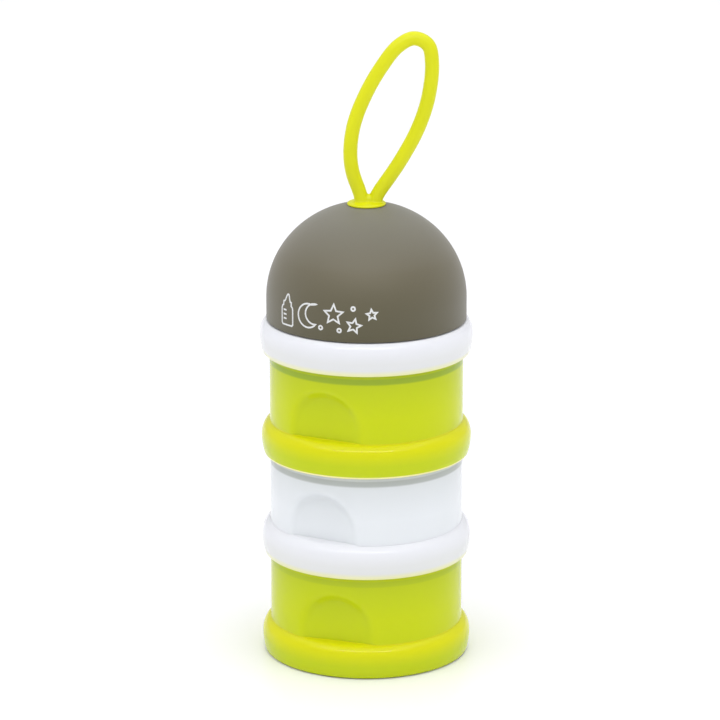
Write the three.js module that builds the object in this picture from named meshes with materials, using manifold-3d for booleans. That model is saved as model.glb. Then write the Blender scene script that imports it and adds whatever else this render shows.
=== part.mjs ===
// Stacking formula dispenser: three screw-together powder containers, a pouring lid, a dome cap
// that covers the spout, and a silicone carry loop plugged into the top of the dome.
//
// Millimetres, +Z up. The origin is the centre of the bottom ring's underside.
// Each container carries its own socket underneath, so it is also the lid of the one below it.

import * as THREE from 'three';
import { mergeVertices } from 'three/addons/utils/BufferGeometryUtils.js';
import Module from 'manifold-3d';

const wasm = await Module();
wasm.setup();

// ---------------------------------------------------------------- driving dimensions

const SEGMENTS = 36; // facets round every large turned part
const GAP = 0.3; // clearance between pieces that touch on the real object
const EDGE = 0.4; // broken edges of the mouldings

// one container
const PITCH = 38.6; // height that each container adds to the stack
const WALL_R = 35.9; // outside of the wall
const WALL = 1.8; // moulded thickness of wall and floor
const RING_R = 39; // outside of the base ring at its fullest
const RING_H = 12.3; // height at which the ring runs into the wall
const RING_CREST_Z = 6.5; // height of the ring's fullest point
const RING_FOOT_R = 37.6; // outer edge of the flat underside
const BULGE_CENTRE_R = WALL_R - 0.7; // centre of the ring's bulge in the profile plane
const BULGE_LOWER = 1.46; // height of the bulge's lower half, as a share of the crest's height
const BULGE_FOOT_ANGLE = -40; // where the bulge ends at the foot, from its crest
const SOCKET_R = 35; // bore of the threaded socket inside the ring
const FLOOR_Z = 9.5; // underside of the floor, the roof of the socket
const NECK_R = 33; // outside of the threaded neck
const NECK_BORE_R = 31.2; // inside of the neck
const NECK_H = 7.7; // the neck's rim, above the shoulder's nominal height
const SHOULDER_Z = PITCH - GAP; // the next ring sits down on this shoulder

// screw thread: two starts, right-handed
const THREAD_LEAD = 10; // rise in one full turn
const THREAD_STARTS = 2;
const THREAD_SPAN = 140; // degrees that each ridge runs
const THREAD_ROOT_W = 2.8; // ridge width at its root
const THREAD_CREST_W = 1.4; // ridge width at its crest
const NECK_RIDGE_H = 1.3;
const SOCKET_RIDGE_H = 1.4;
const THREAD_START_Z = 1.9; // centre of a neck ridge where it starts, above the shoulder
const THREAD_END_H = 0.2; // height left at a ridge's ends, as a share of the full height
const THREAD_RUN_OUT = 1 / 6; // share of a ridge's length over which it gains its full height

// gasket in the roof of each socket
const SEAL_INNER_R = 30.8;
const SEAL_OUTER_R = SOCKET_R - GAP;
const SEAL_Z = NECK_H + GAP;
const SEAL_H = 1.2;

// thumb grips: a flat arch pressed into the wall, one on each side
const GRIP_HALF_W = 16.2; // also the radius of the arch's round top
const GRIP_TOP_Z = 32; // top of the arch, above the container's underside
const GRIP_FLAT_R = 32.6; // distance of the flat from the axis
const GRIP_AZIMUTHS = [-19, -28.5, -26.5]; // bottom, middle and top container, from the front

// pouring lid
const LID_Z = 3 * PITCH;
const LID_RING_R = 39.4;
const LID_CREST_Z = 7;
const LID_LEDGE_Z = 12.1; // ledge that the dome's rim sits on
const COLLAR_R = 33.9; // collar that the dome snaps over
const COLLAR_TOP_Z = 17.2;
const SPOUT_BORE_R = 11;
const SPOUT_R = 12.6;
const SPOUT_FOOT_Z = 30.2; // where the funnel becomes a straight spout
const SPOUT_TOP_Z = 35.6;

// dome cap
const DOME_R = 36.95;
const DOME_H = 35.2; // height of the slightly flattened half ball above its skirt
const DOME_WALL = 2;
const DOME_RIM_Z = 128.2;
const DOME_CENTRE_Z = 136.2; // centre of the half ball, the top of the straight skirt
const STOPPER_BORE_R = SPOUT_R + 0.4; // inner ring that closes round the spout
const STOPPER_R = 14.4;
const STOPPER_Z = 147.6;
const CEILING_Z = 167.2; // flat inside the stopper ring
const SNAP = 0.3; // height of the snap ridges on the lid's collar and inside the dome's rim

// carry loop and the plug that holds it
const FLANGE_R = 7.2;
const FLANGE_Z = 171; // underside of the flange
const FLANGE_T = 0.9;
const HUB_R = 5; // raised middle of the flange, under the loop's two arms
const HUB_T = 2;
const PLUG_R = 2.3; // stem through the dome
const BARB_R = 4.4;
const BARB_EDGE = 0.8;
const BARB_TIP_R = 1.6;
const BARB_TIP_Z = 161.1;
const CORD_R = 2.6;
const BEND_Z = 175.9; // axis through the foot of both arms, about which the loop bends over
// centreline of the loop: x, and height above the bend axis, from the left foot to the right
const LOOP_PATH = [
  [-3, 0], [-5.2, 7.5], [-5.9, 15], [-4.5, 25], [-0.5, 35.5], [5.2, 45.7], [11.5, 53.7],
  [17.2, 56.5], [22.2, 54.1], [23.7, 47.6], [22.4, 34.6], [18.6, 23], [12, 10.7], [4.9, 0],
];

const LIME = 0xd6e02a;
const WHITE = 0xf1f4f6;
const GREY = 0x7c7666;
const CLEAR_SILICONE = 0xe6e8e6;

// ---------------------------------------------------------------- helpers

const degrees = THREE.MathUtils.degToRad;

function point(radius, height) {
  return new THREE.Vector2(radius, height);
}

// Points of an elliptical arc in the profile plane, angles in degrees from the outward direction.
function arc(centre, radiusR, radiusZ, from, to, steps) {
  const points = [];
  for (let i = 0; i <= steps; i += 1) {
    const angle = degrees(from + ((to - from) * i) / steps);
    points.push(point(centre.x + radiusR * Math.cos(angle), centre.y + radiusZ * Math.sin(angle)));
  }
  return points;
}

function turned(profile, segments = SEGMENTS) {
  const geometry = new THREE.LatheGeometry(profile, segments);
  geometry.rotateX(Math.PI / 2);
  return geometry;
}

function toSolid(geometry) {
  const bare = geometry.clone();
  bare.deleteAttribute('normal');
  bare.deleteAttribute('uv');
  const merged = mergeVertices(bare, 1e-4);
  const corners = [];
  const index = merged.index.array;
  for (let i = 0; i < index.length; i += 3) {
    const [a, b, c] = [index[i], index[i + 1], index[i + 2]];
    if (a !== b && b !== c && c !== a) {
      corners.push(a, b, c);
    }
  }
  const vertProperties = new Float32Array(merged.attributes.position.array);
  const triVerts = new Uint32Array(corners);
  return new wasm.Manifold(new wasm.Mesh({ numProp: 3, vertProperties, triVerts }));
}

function toGeometry(solid) {
  const mesh = solid.getMesh();
  const geometry = new THREE.BufferGeometry();
  geometry.setAttribute('position', new THREE.BufferAttribute(mesh.vertProperties, 3));
  geometry.setIndex(new THREE.BufferAttribute(mesh.triVerts, 1));
  geometry.computeVertexNormals();
  return geometry;
}

function plastic(color, roughness) {
  return new THREE.MeshStandardMaterial({ color, roughness, metalness: 0 });
}

function piece(name, geometry, material, height = 0, azimuth = 0) {
  const mesh = new THREE.Mesh(geometry, material);
  mesh.name = name;
  mesh.position.z = height;
  mesh.rotation.z = degrees(azimuth);
  return mesh;
}

// ---------------------------------------------------------------- screw thread

// One thread ridge: a straight trapezoid bar wrapped onto a helix, fading into the wall at its
// ends. Height is positive for a ridge that stands outwards and negative for one that stands in.
function threadRidge(rootR, height, startAngle, startZ) {
  const side = Math.sign(height);
  const rise = Math.abs(height);
  const buried = 0.4;
  const section = new THREE.Shape([
    point(-THREAD_ROOT_W / 2, -buried),
    point(THREAD_ROOT_W / 2, -buried),
    point(THREAD_CREST_W / 2, rise),
    point(-THREAD_CREST_W / 2, rise),
  ]);
  const bar = new THREE.ExtrudeGeometry(section, { depth: 1, steps: 14, bevelEnabled: false });
  const positions = bar.attributes.position;
  for (let i = 0; i < positions.count; i += 1) {
    const along = positions.getZ(i);
    const fade = Math.min(1, THREAD_END_H + Math.min(along, 1 - along) / THREAD_RUN_OUT);
    const radius = rootR + side * (-buried + (positions.getY(i) + buried) * fade);
    const angle = degrees(startAngle + THREAD_SPAN * along);
    const climb = (THREAD_LEAD * THREAD_SPAN * along) / 360;
    positions.setXYZ(
      i,
      radius * Math.cos(angle),
      radius * Math.sin(angle),
      startZ + climb + side * positions.getX(i),
    );
  }
  return toSolid(bar);
}

function addThread(solid, rootR, height, firstAngle, startZ) {
  let result = solid;
  for (let start = 0; start < THREAD_STARTS; start += 1) {
    const angle = firstAngle + (360 * start) / THREAD_STARTS;
    result = result.add(threadRidge(rootR, height, angle, startZ));
  }
  return result;
}

// The socket's ridges lie half a pitch away from the neck's, on the same helix, so that they
// stay between them all the way as the parts unscrew.
function addSocketThread(solid) {
  const halfPitch = THREAD_LEAD / THREAD_STARTS / 2;
  const turnOfHalfPitch = (360 * halfPitch) / THREAD_LEAD;
  return addThread(solid, SOCKET_R, -SOCKET_RIDGE_H, turnOfHalfPitch, THREAD_START_Z);
}

function addNeckThread(solid) {
  return addThread(solid, NECK_R, NECK_RIDGE_H, 0, PITCH + THREAD_START_Z);
}

// ---------------------------------------------------------------- shared outlines

// The bulging outside of a base ring, from its foot up to where it meets topRadius.
function ringOutline(fullRadius, crestZ, topRadius, topZ) {
  const centre = point(BULGE_CENTRE_R, crestZ);
  const reach = fullRadius - centre.x;
  const topReach = (topRadius - centre.x) / reach;
  const topAngle = THREE.MathUtils.radToDeg(Math.acos(topReach));
  const upperHeight = (topZ - crestZ) / Math.sqrt(1 - topReach * topReach);
  const lower = arc(centre, reach, crestZ * BULGE_LOWER, BULGE_FOOT_ANGLE, 0, 3);
  const upper = arc(centre, reach, upperHeight, 0, topAngle, 4);
  return [point(RING_FOOT_R, 0), ...lower, ...upper.slice(1)];
}

// The hollow that takes a neck: open below, with the floor as its roof.
function socketHollow() {
  return toSolid(turned([
    point(0, -1),
    point(SOCKET_R, -1),
    point(SOCKET_R, FLOOR_Z - EDGE),
    point(SOCKET_R - EDGE, FLOOR_Z),
    point(0, FLOOR_Z),
  ]));
}

// An upright arch, standing on bottomZ, that reaches outwards from a flat at flatR.
function arch(halfWidth, bottomZ, topZ, flatR, azimuth) {
  const outline = new THREE.Shape();
  outline.moveTo(-halfWidth, bottomZ);
  outline.lineTo(halfWidth, bottomZ);
  outline.lineTo(halfWidth, topZ - halfWidth);
  outline.absarc(0, topZ - halfWidth, halfWidth, 0, Math.PI, false);
  outline.closePath();
  const depth = WALL_R + 2 - flatR;
  const block = new THREE.ExtrudeGeometry(outline, { depth, bevelEnabled: false, curveSegments: 8 });
  block.rotateX(Math.PI / 2);
  block.translate(0, -flatR, 0);
  block.rotateZ(degrees(azimuth));
  return toSolid(block);
}

// ---------------------------------------------------------------- container

function containerOutside() {
  const rimZ = PITCH + NECK_H;
  return toSolid(turned([
    point(0, 0),
    ...ringOutline(RING_R, RING_CREST_Z, WALL_R, RING_H),
    point(WALL_R, SHOULDER_Z - EDGE),
    point(WALL_R - EDGE, SHOULDER_Z),
    point(NECK_R, SHOULDER_Z),
    point(NECK_R, rimZ - EDGE),
    point(NECK_R - EDGE, rimZ),
    point(0, rimZ),
  ]));
}

function containerHollow() {
  const boreR = WALL_R - WALL;
  const floorTop = FLOOR_Z + WALL;
  const cornerR = 2;
  const underShoulder = 0.6; // the wall turns in below the shoulder, at the same thickness
  const turnIn = boreR - NECK_BORE_R;
  return toSolid(turned([
    point(0, floorTop),
    ...arc(point(boreR - cornerR, floorTop + cornerR), cornerR, cornerR, -90, 0, 2),
    point(boreR, SHOULDER_Z - underShoulder - turnIn),
    point(NECK_BORE_R, SHOULDER_Z - underShoulder),
    point(NECK_BORE_R, PITCH + NECK_H + 1),
    point(0, PITCH + NECK_H + 1),
  ]));
}

// The grips are the same thickness as the rest, so each one stands into the hollow as a boss.
function containerGeometry() {
  let outside = containerOutside();
  let hollow = containerHollow();
  for (const azimuth of [0, 180]) {
    outside = outside.subtract(arch(GRIP_HALF_W, RING_H, GRIP_TOP_Z, GRIP_FLAT_R, azimuth));
    const boss = arch(GRIP_HALF_W + WALL, FLOOR_Z, GRIP_TOP_Z + WALL, GRIP_FLAT_R - WALL, azimuth);
    hollow = hollow.subtract(boss);
  }
  const shell = outside.subtract(hollow).subtract(socketHollow());
  return toGeometry(addSocketThread(addNeckThread(shell)));
}

// ---------------------------------------------------------------- gasket

function sealGeometry() {
  return turned([
    point(SEAL_INNER_R, SEAL_Z),
    point(SEAL_OUTER_R, SEAL_Z),
    point(SEAL_OUTER_R, SEAL_Z + SEAL_H),
    point(SEAL_INNER_R, SEAL_Z + SEAL_H),
    point(SEAL_INNER_R, SEAL_Z),
  ]);
}

// ---------------------------------------------------------------- pouring lid

// A threaded ring that closes into a funnel and a straight spout, with a collar for the dome.
function pourLidGeometry() {
  const collarWall = 1.6;
  const ridgeZ = LID_LEDGE_Z + 2.8;
  const shell = toSolid(turned([
    point(SOCKET_R, 0),
    ...ringOutline(LID_RING_R, LID_CREST_Z, DOME_R + 0.5, LID_LEDGE_Z),
    point(COLLAR_R, LID_LEDGE_Z),
    point(COLLAR_R, ridgeZ - 2 * SNAP),
    point(COLLAR_R + SNAP, ridgeZ - SNAP),
    point(COLLAR_R + SNAP, ridgeZ + SNAP),
    point(COLLAR_R, ridgeZ + 2 * SNAP),
    point(COLLAR_R - EDGE, COLLAR_TOP_Z),
    point(COLLAR_R - collarWall, COLLAR_TOP_Z),
    point(COLLAR_R - collarWall, LID_LEDGE_Z + EDGE),
    point(NECK_BORE_R - GAP, LID_LEDGE_Z),
    point(SPOUT_R, SPOUT_FOOT_Z + 0.8),
    point(SPOUT_R, SPOUT_TOP_Z - EDGE),
    point(SPOUT_R - EDGE, SPOUT_TOP_Z),
    point(SPOUT_BORE_R + EDGE, SPOUT_TOP_Z),
    point(SPOUT_BORE_R, SPOUT_TOP_Z - EDGE),
    point(SPOUT_BORE_R, SPOUT_FOOT_Z),
    point(NECK_BORE_R, FLOOR_Z),
    point(SOCKET_R - EDGE, FLOOR_Z),
    point(SOCKET_R, FLOOR_Z - EDGE),
    point(SOCKET_R, 0),
  ]));
  return toGeometry(addSocketThread(shell));
}

// ---------------------------------------------------------------- dome cap

// A half ball on a short skirt, with an inner ring that closes round the spout and a flat with a
// hole at the top for the loop's plug.
function domeCapGeometry() {
  const innerR = DOME_R - DOME_WALL;
  const innerH = DOME_H - DOME_WALL;
  const flatZ = FLANGE_Z - GAP;
  const beadZ = DOME_RIM_Z + 1.8;
  const centre = point(0, DOME_CENTRE_Z);
  const flatAngle = THREE.MathUtils.radToDeg(Math.asin((flatZ - DOME_CENTRE_Z) / DOME_H));
  const stopperAngle = THREE.MathUtils.radToDeg(Math.acos(STOPPER_R / innerR));
  return turned([
    point(innerR + EDGE, DOME_RIM_Z),
    point(DOME_R - EDGE, DOME_RIM_Z),
    point(DOME_R, DOME_RIM_Z + EDGE),
    ...arc(centre, DOME_R, DOME_H, 0, flatAngle, 8),
    point(PLUG_R + GAP, flatZ),
    point(PLUG_R + GAP, CEILING_Z),
    point(STOPPER_BORE_R, CEILING_Z),
    point(STOPPER_BORE_R, STOPPER_Z),
    point(STOPPER_R, STOPPER_Z),
    ...arc(centre, innerR, innerH, stopperAngle, 0, 5),
    point(innerR, beadZ + 2 * SNAP),
    point(innerR - SNAP, beadZ + SNAP),
    point(innerR - SNAP, beadZ - SNAP),
    point(innerR, beadZ - 2 * SNAP),
    point(innerR, DOME_RIM_Z + EDGE),
    point(innerR + EDGE, DOME_RIM_Z),
  ]);
}

// ---------------------------------------------------------------- carry loop

// Flange on top of the dome, stem through its hole, and a barb that snaps out underneath.
function loopAnchorGeometry() {
  const barbTopZ = CEILING_Z - GAP;
  const flangeEdge = FLANGE_T / 3;
  return turned([
    point(0, BARB_TIP_Z),
    point(BARB_TIP_R, BARB_TIP_Z),
    point(BARB_R, barbTopZ - BARB_EDGE),
    point(BARB_R, barbTopZ),
    point(PLUG_R, barbTopZ),
    point(PLUG_R, FLANGE_Z),
    point(FLANGE_R - flangeEdge, FLANGE_Z),
    point(FLANGE_R, FLANGE_Z + flangeEdge),
    point(FLANGE_R, FLANGE_Z + 2 * flangeEdge),
    point(FLANGE_R - flangeEdge, FLANGE_Z + FLANGE_T),
    point(HUB_R, FLANGE_Z + FLANGE_T),
    point(HUB_R - EDGE, FLANGE_Z + HUB_T),
    point(0, FLANGE_Z + HUB_T),
  ], 24);
}

// A round cord bent into a leaning loop. Its two feet are ball ends centred on the bend axis.
function carryLoopGeometry() {
  const path = new THREE.CatmullRomCurve3(LOOP_PATH.map(([x, z]) => new THREE.Vector3(x, 0, z)));
  const circle = new THREE.Shape();
  circle.absarc(0, 0, CORD_R, 0, 2 * Math.PI, false);
  const cord = new THREE.ExtrudeGeometry(circle, { extrudePath: path, steps: 52, curveSegments: 5 });
  let solid = toSolid(cord);
  for (const end of [0, 1]) {
    const foot = path.getPoint(end);
    const ball = new THREE.SphereGeometry(CORD_R, 12, 6);
    ball.translate(foot.x, foot.y, foot.z);
    solid = solid.add(toSolid(ball));
  }
  return toGeometry(solid);
}

// ---------------------------------------------------------------- assembly

const dispenser = new THREE.Group();
dispenser.name = 'formula_dispenser';

const containerShape = containerGeometry();
const sealShape = sealGeometry();
const containerColours = [LIME, WHITE, LIME];

['bottom', 'middle', 'top'].forEach((place, level) => {
  const height = level * PITCH;
  const azimuth = GRIP_AZIMUTHS[level];
  const colour = plastic(containerColours[level], 0.25);
  dispenser.add(piece(`container_${place}`, containerShape, colour, height, azimuth));
  dispenser.add(piece(`seal_${place}`, sealShape, plastic(CLEAR_SILICONE, 0.6), height));
});

const lidAzimuth = GRIP_AZIMUTHS[2];
dispenser.add(piece('seal_lid', sealShape, plastic(CLEAR_SILICONE, 0.6), LID_Z));
dispenser.add(piece('pour_lid', pourLidGeometry(), plastic(WHITE, 0.25), LID_Z, lidAzimuth));
dispenser.add(piece('dome_cap', domeCapGeometry(), plastic(GREY, 0.55)));
dispenser.add(piece('loop_anchor', loopAnchorGeometry(), plastic(LIME, 0.5)));
dispenser.add(piece('carry_loop', carryLoopGeometry(), plastic(LIME, 0.5), BEND_Z));

export default dispenser;
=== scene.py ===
"""Stacking formula dispenser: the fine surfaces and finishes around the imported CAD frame.

Lengths inside the builders are millimetres, as in the CAD, and to_metres() converts a finished
mesh. Every moulding is one surface of revolution on a grid of profile rows and angle columns, so
threads and thumb grips are shaped by moving the grid.
"""
import math

import bmesh
import bpy
import numpy as np
from mathutils import Matrix, Vector


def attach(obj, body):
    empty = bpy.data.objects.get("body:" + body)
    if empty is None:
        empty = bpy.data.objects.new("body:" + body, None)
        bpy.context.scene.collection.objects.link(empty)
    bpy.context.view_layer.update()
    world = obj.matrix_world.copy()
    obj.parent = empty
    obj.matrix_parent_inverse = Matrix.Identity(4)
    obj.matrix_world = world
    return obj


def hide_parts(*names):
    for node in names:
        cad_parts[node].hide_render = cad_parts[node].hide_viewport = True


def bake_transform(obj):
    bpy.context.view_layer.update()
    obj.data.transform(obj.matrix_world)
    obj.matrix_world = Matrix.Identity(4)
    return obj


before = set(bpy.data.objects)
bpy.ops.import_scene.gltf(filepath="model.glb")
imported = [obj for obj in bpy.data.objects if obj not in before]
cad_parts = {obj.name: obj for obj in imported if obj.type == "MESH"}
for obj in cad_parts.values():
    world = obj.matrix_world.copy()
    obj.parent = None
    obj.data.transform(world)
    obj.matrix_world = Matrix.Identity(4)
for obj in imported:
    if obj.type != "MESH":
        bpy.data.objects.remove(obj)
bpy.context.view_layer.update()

# ------------------------------------------------------------------ sizes, in millimetres

MM = 0.001  # one millimetre in metres
PITCH = 38.6
WALL_R = 35.9
WALL = 1.8
GAP = 0.3
RING_R = 39.0
RING_H = 12.3
RING_CREST_Z = 6.5
RING_FOOT_R = 37.6
FOOT_FLAT_R = RING_FOOT_R - 1.7  # where the drawn part of the foot's flat starts
FOOT_STEP_R = RING_FOOT_R - 1.6
FOOT_STEP_H = 0.55  # how far the base's outer edge stands above the surface under it
FOOT_STEP_FILLET = 0.45
FOOT_EDGE_R = RING_FOOT_R + 0.35
FOOT_FILLET = 0.35
BULGE_CENTRE_R = WALL_R - 0.7
BULGE_LOWER = 1.46
BULGE_FOOT_ANGLE = -40  # degrees
SOCKET_R = 35.0
FLOOR_Z = 9.5
NECK_R = 33.0
NECK_BORE_R = 31.2
NECK_H = 7.7
SHOULDER_Z = PITCH - GAP

THREAD_LEAD = 10.0
THREAD_SPAN = 140.0  # degrees
THREAD_ROOT_W = 2.8
THREAD_CREST_W = 1.4
NECK_RIDGE_H = 1.3
SOCKET_RIDGE_H = 1.4
THREAD_START_Z = 1.9
THREAD_FADE = 12  # degrees over which a ridge rises at each end
THREAD_RUN_IN = 30  # degrees before a ridge's start that count as before it, not as far past it
THREAD_ROW = 0.36  # height of one grid row on a threaded wall

SEAL_INNER_R = 30.8
SEAL_OUTER_R = SOCKET_R - GAP
SEAL_Z = NECK_H + GAP
SEAL_H = 1.2

GRIP_HALF_W = 16.2
GRIP_TOP_Z = 32.0
GRIP_FLAT_R = 32.6
GRIP_BEVEL = 4.4  # width of the slope at the grip's edge
GRIP_ROUNDING = 0.4
GRIP_REACH = 0.8  # radians to each side of a grip's middle that it can touch
GRIP_SPAN = 29  # degrees to each side of a grip's middle that get fine columns
FINE_COLUMN = 0.8  # degrees
COARSE_COLUMN = 2.5
WALL_ROW = 0.8  # height of one grid row on a container's outer wall
BORE_ROW = 0.9  # and on its inner wall
LEDGE_RISE = 0.35  # height over which the grip's flat runs out onto the ring
LEDGE_ROWS = (0.14, 0.28, 0.42, 0.56, 0.7, 0.84, 1.0, 1.6)  # as shares of that height
GRIP_AZIMUTHS = {"bottom": -19.0, "middle": -28.5, "top": -26.5}  # degrees from the front

LID_Z = 3 * PITCH
LID_RING_R = 39.4
LID_CREST_Z = 7.0
LID_LEDGE_Z = 12.1
COLLAR_R = 33.9
COLLAR_TOP_Z = 17.2
SPOUT_BORE_R = 11.0
SPOUT_R = 12.6
SPOUT_FOOT_Z = 30.2
SPOUT_TOP_Z = 35.6

DOME_R = 36.95
DOME_H = 35.2
DOME_WALL = 2.0
DOME_RIM_Z = 128.2
DOME_CENTRE_Z = 136.2
STOPPER_BORE_R = SPOUT_R + 0.4
STOPPER_R = 14.4
STOPPER_Z = 147.6
CEILING_Z = 167.2

FLANGE_R = 7.2
FLANGE_Z = 171.0
PLUG_R = 2.3
BARB_R = 4.4
BARB_TIP_Z = 161.1
CORD_R = 2.6
BEND_Z = 175.9
# Centreline of the loop: x, and height above the bend axis
LOOP_PATH = [
    (-2.7, 0), (-5.2, 7.5), (-5.9, 15), (-4.5, 25), (-0.5, 35.5), (5.2, 45.7), (11.5, 53.7),
    (17.2, 56.5), (22.2, 54.1), (23.7, 47.6), (22.4, 34.6), (18.6, 23), (12, 10.7), (4.8, 0),
]
LOOP_SPAN_STEPS = 24  # points worked out between two of those
# Where each end of the cord runs down into the flange: x, and height above FOOT_OF_ARMS_Z
FOOT_OF_ARMS_Z = FLANGE_Z + 0.4
LEFT_FOOT = [(-1.85, 0), (-1.95, 1.3), (-2.2, 2.9)]
RIGHT_FOOT = [(3.9, 2.9), (3.3, 1.4), (3.05, 0)]
CORD_SIDES = 28
CORD_RINGS = 200
WEB_R = 2.0  # the ball that fills the crotch between the arms
WEB_CENTRE = (0.85, 0, FLANGE_Z + 1.75)
SKIN_VOXEL = 0.26
SKIN_SOFTENING = 6
ARMS_PART_Z = 176.0
ARMS_ROUND_Z = ARMS_PART_Z + 2.4  # from here up, the skin is exactly the round cord
ROUNDING_SAMPLES = 1000
ROUNDING_BATCH = 4000

# ------------------------------------------------------------------ camera, matched to the view

CAMERA_PITCH = 0.2728  # radians below the horizontal
CAMERA_DISTANCE = 1358.5
CAMERA_TARGET = (-2.38, 0.0, 111.65)
CAMERA_LENS = 183.4
SENSOR = 36.0


def make_camera():
    data = bpy.data.cameras.new("camera")
    data.lens = CAMERA_LENS
    data.sensor_width = SENSOR
    data.clip_end = 20.0
    camera = bpy.data.objects.new("camera", data)
    bpy.context.scene.collection.objects.link(camera)
    back = Vector((0, -math.cos(CAMERA_PITCH), math.sin(CAMERA_PITCH)))
    camera.location = (Vector(CAMERA_TARGET) + back * CAMERA_DISTANCE) * MM
    camera.rotation_euler = (math.pi / 2 - CAMERA_PITCH, 0, 0)
    bpy.context.scene.camera = camera


make_camera()

# ------------------------------------------------------------------ mesh helpers


def to_metres(name, points, faces, smooth=True):
    mesh = bpy.data.meshes.new(name)
    mesh.from_pydata((np.asarray(points, float) * MM).tolist(), [], faces)
    mesh.update()
    mesh.validate()
    obj = bpy.data.objects.new(name, mesh)
    bpy.context.scene.collection.objects.link(obj)
    mesh.polygons.foreach_set("use_smooth", [smooth] * len(mesh.polygons))
    return obj


def rounded(corners, closed=False, steps=4):
    """A profile through (r, z, fillet) corners, with each fillet drawn as an arc."""
    points = []
    count = len(corners)
    for i, (r, z, fillet) in enumerate(corners):
        here = np.array([r, z], float)
        if fillet == 0 or (not closed and i in (0, count - 1)):
            points.append(here)
            continue
        before = np.array(corners[i - 1][:2], float) - here
        after = np.array(corners[(i + 1) % count][:2], float) - here
        before_length = np.linalg.norm(before)
        after_length = np.linalg.norm(after)
        before /= before_length
        after /= after_length
        half = math.acos(max(-1, min(1, float(before @ after)))) / 2
        cut = min(fillet / math.tan(half), 0.49 * before_length, 0.49 * after_length)
        start = here + before * cut
        end = here + after * cut
        for k in range(steps + 1):
            t = k / steps
            points.append((1 - t) ** 2 * start + 2 * t * (1 - t) * here + t * t * end)
    return points


def divide(points, longest):
    """The same open profile with no step longer than the given length."""
    result = [points[0]]
    for a, b in zip(points, points[1:]):
        pieces = max(1, math.ceil(np.linalg.norm(b - a) / longest))
        result += [a + (b - a) * (k / pieces) for k in range(1, pieces + 1)]
    return result


def arc(centre_z, radius, start, end, steps, centre_r=0.0, radius_z=None):
    """Points of an arc in the profile plane, angles in degrees above the outward direction."""
    radius_z = radius if radius_z is None else radius_z
    angles = np.radians(np.linspace(start, end, steps + 1))
    return [
        np.array([centre_r + radius * math.cos(a), centre_z + radius_z * math.sin(a)])
        for a in angles
    ]


def ring_outline(full_r, crest_z, top_r, top_z, step_h=0.0):
    """The bulging outside of a base ring, from its foot up to where it meets top_r. A step holds
    the outer edge a little above the surface that the foot stands on."""
    reach = full_r - BULGE_CENTRE_R
    top_reach = (top_r - BULGE_CENTRE_R) / reach
    top_angle = math.degrees(math.acos(top_reach))
    upper = (top_z - crest_z) / math.sqrt(1 - top_reach**2)
    lower = crest_z * BULGE_LOWER
    foot = [(FOOT_FLAT_R, 0, 0)]
    if step_h:
        foot += [(FOOT_STEP_R, 0, 0), (FOOT_STEP_R + 0.05, step_h, 0.05)]
    foot.append((FOOT_EDGE_R, step_h, FOOT_STEP_FILLET if step_h else FOOT_FILLET))
    below = arc(crest_z, reach, BULGE_FOOT_ANGLE, 0, 12, BULGE_CENTRE_R, lower)
    foot.append((below[0][0], below[0][1], 0))
    above = arc(crest_z, reach, 0, top_angle, 14, BULGE_CENTRE_R, upper)
    return rounded(foot)[:-1] + below + above[1:]


def smoothstep(value):
    t = np.clip(value, 0, 1)
    return t * t * (3 - 2 * t)


def even_angles(count):
    return np.radians(np.arange(count) * 360.0 / count)


def grip_angles():
    """Angle columns that are close together across the two grips and wide elsewhere."""
    fine = np.arange(-GRIP_SPAN, GRIP_SPAN, FINE_COLUMN)
    coarse = np.arange(GRIP_SPAN, 180 - GRIP_SPAN, COARSE_COLUMN)
    around = np.concatenate([fine, coarse, fine + 180, coarse + 180])
    return np.radians(around - 90)


def revolve(name, rows, angles, closed=False):
    """A surface of revolution. Each row is (r, z, shaping), and shaping(r, z, angles) returns
    the row's radius at every angle. An open profile starts and ends on the axis."""
    points, faces = [], []
    columns = len(angles)
    starts = []
    for r, z, shaping in rows:
        starts.append(len(points))
        if r == 0:
            points.append((0, 0, z))
            continue
        radius = shaping(r, z, angles) if shaping else np.full(columns, r)
        points += list(zip(radius * np.cos(angles), radius * np.sin(angles), np.full(columns, z)))
    pairs = list(zip(range(len(rows)), range(1, len(rows))))
    if closed:
        pairs.append((len(rows) - 1, 0))
    for low, high in pairs:
        a, b = starts[low], starts[high]
        for j in range(columns):
            k = (j + 1) % columns
            if rows[low][0] == 0:
                faces.append((a, b + k, b + j))
            elif rows[high][0] == 0:
                faces.append((a + j, a + k, b))
            else:
                faces.append((a + j, a + k, b + k, b + j))
    return to_metres(name, points, faces)


def shaped(profile, shaping=None):
    return [(float(r), float(z), shaping) for r, z in profile]


# ------------------------------------------------------------------ thread and thumb grip


def thread_shaping(height, first_angle, start_z):
    """Two helical ridges, the same as the CAD's, with rounded crests and faded ends."""
    side = math.copysign(1, height)

    def shaping(r, z, angles):
        ridge = np.zeros(len(angles))
        for start in (first_angle, first_angle + 180):
            turned = np.degrees(angles) - start
            along = np.mod(turned + THREAD_RUN_IN, 360) - THREAD_RUN_IN
            centre = start_z + THREAD_LEAD * along / 360
            distance = np.abs(z - centre)
            flank = (THREAD_ROOT_W / 2 - distance) / ((THREAD_ROOT_W - THREAD_CREST_W) / 2)
            ends = np.minimum(along, THREAD_SPAN - along) / THREAD_FADE
            ridge = np.maximum(ridge, smoothstep(flank) * smoothstep(ends))
        return r + side * abs(height) * ridge

    return shaping


def neck_thread():
    return thread_shaping(NECK_RIDGE_H, 0, PITCH + THREAD_START_Z)


def socket_thread():
    """The socket's ridges start a quarter turn on, so they run between the neck's."""
    return thread_shaping(-SOCKET_RIDGE_H, 90, THREAD_START_Z)


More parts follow.
